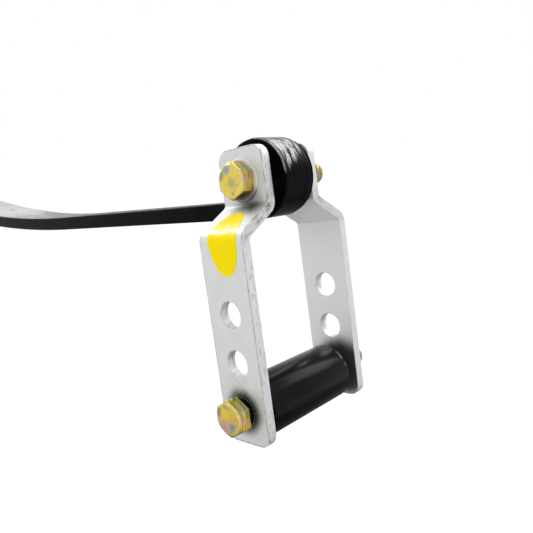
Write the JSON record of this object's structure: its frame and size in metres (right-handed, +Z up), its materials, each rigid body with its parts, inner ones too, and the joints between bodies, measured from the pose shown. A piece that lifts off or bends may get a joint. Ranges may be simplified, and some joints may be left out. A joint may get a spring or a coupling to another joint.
{
  "type": "helper leaf spring",
  "caption": "Tapered single-leaf helper spring with rolled eyes, joggled swinging shackles and loose contact rollers at both ends.",
  "frame": {"origin": "middle of the flat seat on the underside of the leaf", "axes": "+X along the leaf towards the end with the sticker, +Y along the bolts towards their nuts, +Z up, away from the seat"},
  "size_m": [1.1624, 0.1327, 0.184],
  "materials": {
    "black_leaf": "glossy black paint",
    "black_bush": "matte black",
    "bright_plate": "satin clear zinc",
    "clear_zinc": "satin clear zinc",
    "yellow_zinc": "yellow passivated zinc",
    "nylon": "satin",
    "black_sleeve": "satin black",
    "black_roller": "satin black",
    "yellow_sticker": "glossy printed film"
  },
  "bodies": {
    "spring": {"leaf": "black_leaf", "right_bush_head_side": "black_bush", "right_bush_nut_side": "black_bush", "left_bush_head_side": "black_bush", "left_bush_nut_side": "black_bush"},
    "right_shackle": {"right_plate_head_side": "bright_plate", "right_plate_nut_side": "bright_plate", "right_eye_bolt": "yellow_zinc", "right_eye_nut": "yellow_zinc", "right_eye_nut_ring": "nylon", "right_washer_head_side": "clear_zinc", "right_washer_nut_side": "clear_zinc", "right_roller_bolt": "yellow_zinc", "right_roller_nut": "yellow_zinc", "right_roller_nut_ring": "nylon", "right_sleeve": "black_sleeve", "right_sticker": "yellow_sticker"},
    "right_loose_roller": {"right_roller": "black_roller"},
    "left_shackle": {"left_plate_head_side": "bright_plate", "left_plate_nut_side": "bright_plate", "left_eye_bolt": "yellow_zinc", "left_eye_nut": "yellow_zinc", "left_eye_nut_ring": "nylon", "left_washer_head_side": "clear_zinc", "left_washer_nut_side": "clear_zinc", "left_roller_bolt": "yellow_zinc", "left_roller_nut": "yellow_zinc", "left_roller_nut_ring": "nylon", "left_sleeve": "black_sleeve"},
    "left_loose_roller": {"left_roller": "black_roller"}
  },
  "joints": [
    {"name": "right_shackle_swing", "type": "hinge", "parent": "spring", "child": "right_shackle", "pos_m": [0.53096, 0, 0.089], "axis": [0, -1, 0], "range_deg": [-70, 262]},
    {"name": "right_roller_spin", "type": "hinge", "parent": "right_shackle", "child": "right_loose_roller", "pos_m": [0.56013, 0, -0.04823], "axis": [0, 1, 0], "continuous": true},
    {"name": "left_shackle_swing", "type": "hinge", "parent": "spring", "child": "left_shackle", "pos_m": [-0.53096, 0, 0.089], "axis": [0, 1, 0], "range_deg": [-70, 262]},
    {"name": "left_roller_spin", "type": "hinge", "parent": "left_shackle", "child": "left_loose_roller", "pos_m": [-0.56013, 0, -0.04823], "axis": [0, 1, 0], "continuous": true}
  ]
}
